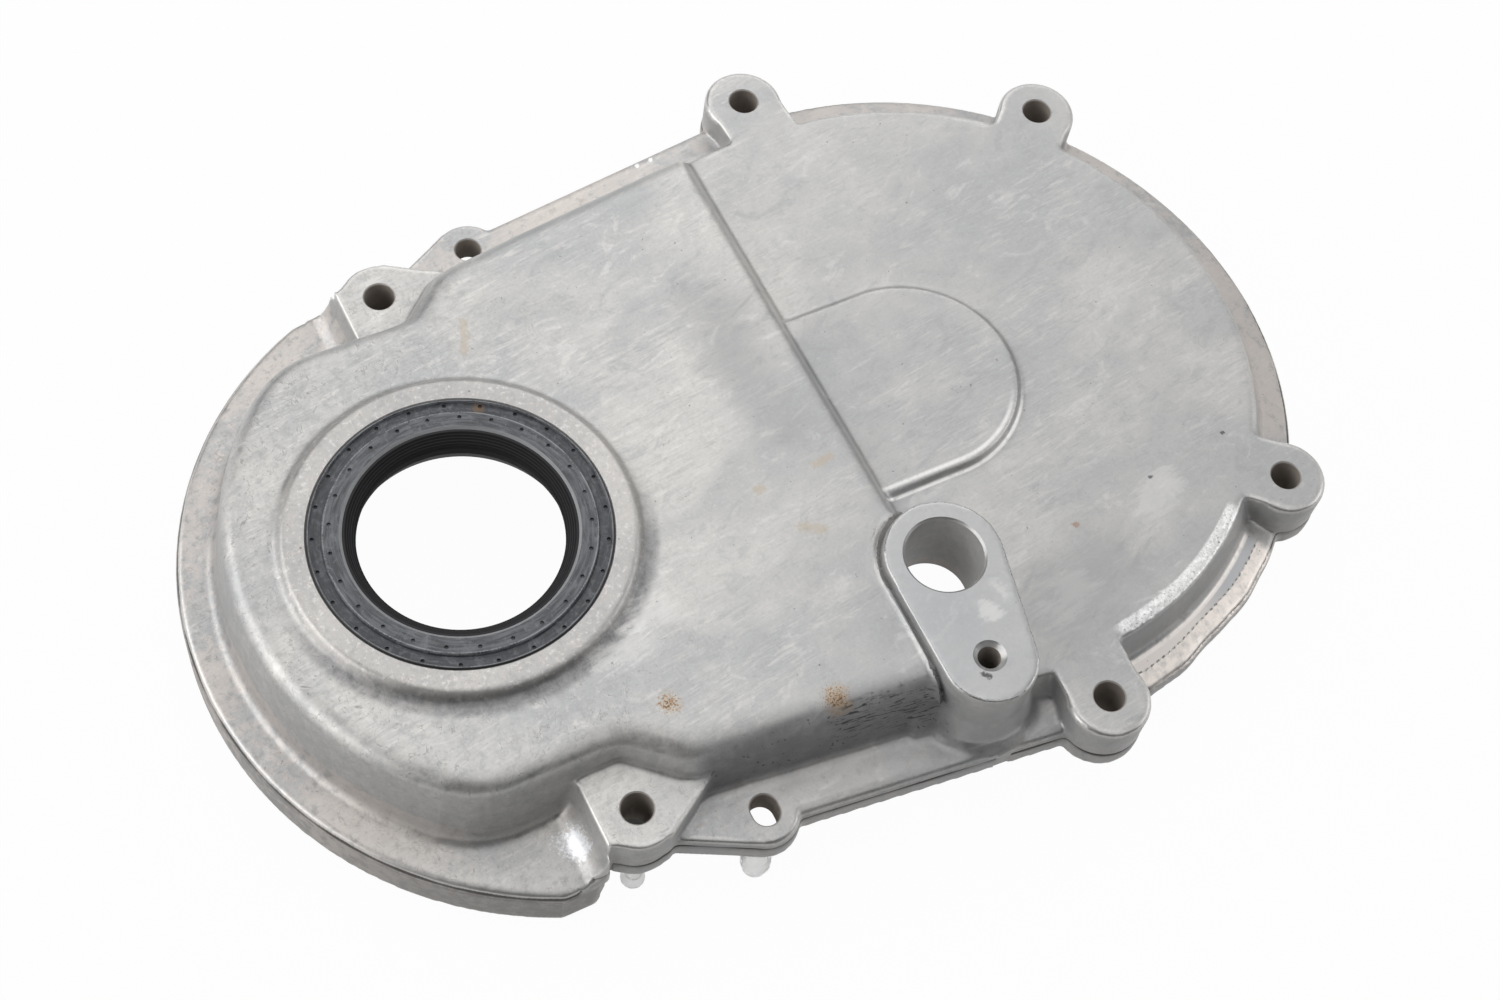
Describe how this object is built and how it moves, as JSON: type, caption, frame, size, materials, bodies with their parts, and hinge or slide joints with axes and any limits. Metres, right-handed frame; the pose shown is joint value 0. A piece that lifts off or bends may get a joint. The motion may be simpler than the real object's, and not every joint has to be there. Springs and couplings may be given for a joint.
{
  "type": "timing cover",
  "caption": "Cast aluminium engine front cover with a raised crank side, pressed-in crank seal, sensor boss, bolt seats, dowel ears and an oil pan skirt.",
  "frame": {"origin": "crank axis at the face that bolts to the engine", "axes": "+Z out of the cover along the crank axis, +Y from the crank axis toward the cam axis, +X to the sensor side"},
  "size_m": [0.1906, 0.2599, 0.0378],
  "materials": {
    "cast_aluminium": "tumbled die casting, satin, lightly stained",
    "seal_steel": "coated pressed steel",
    "seal_rubber": "moulded rubber, satin",
    "lip_rubber": "fine grooved running lip",
    "gasket_rubber": "moulded rubber, matte",
    "nylon": "natural nylon, translucent"
  },
  "bodies": {
    "root": {"cover_casting": "cast_aluminium", "seal_case": "seal_steel", "seal_rubber": "seal_rubber", "seal_lip": "lip_rubber", "rear_gasket": "gasket_rubber", "collared_pin": "nylon", "round_pin": "nylon"}
  },
  "joints": []
}
